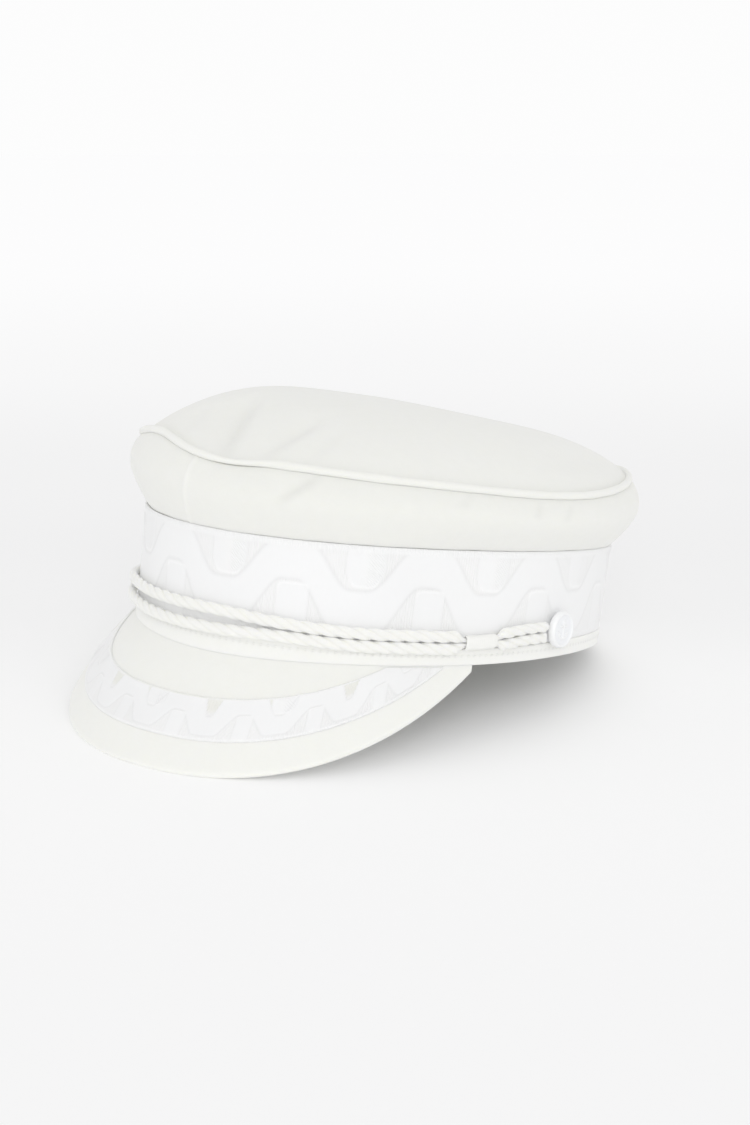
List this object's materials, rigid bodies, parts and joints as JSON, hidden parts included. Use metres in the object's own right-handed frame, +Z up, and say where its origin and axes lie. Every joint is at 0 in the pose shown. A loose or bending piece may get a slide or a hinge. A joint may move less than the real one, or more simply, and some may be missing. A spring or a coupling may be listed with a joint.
{
  "type": "skipper cap",
  "caption": "Felt skipper cap with a domed crown, a band with woven ribbon, a curved peak, and twin twisted cords held by a button at each side.",
  "frame": {"origin": "on the surface that the cap rests on, below the middle of its bounding box", "axes": "+Z up, -Y towards the front of the peak, +X towards the wearer's left; the cap leans back about 10 degrees, as it rests on its peak and the back of its band"},
  "size_m": [0.1853, 0.251, 0.1145],
  "materials": {
    "wool": "cream wool felt, matt",
    "ribbon": "white woven ribbon, half gloss",
    "cord": "ivory twisted cord",
    "button": "cool white, satin"
  },
  "bodies": {
    "root": {"crown_top": "wool", "crown_side_left": "wool", "crown_side_right": "wool", "crown_piping": "wool", "band": "wool", "band_welt": "wool", "band_ribbon": "ribbon", "visor": "wool", "visor_trim": "ribbon", "cord_upper": "cord", "cord_lower": "cord", "cord_slide_left": "cord", "button_left": "button", "cord_slide_right": "cord", "button_right": "button"}
  },
  "joints": []
}
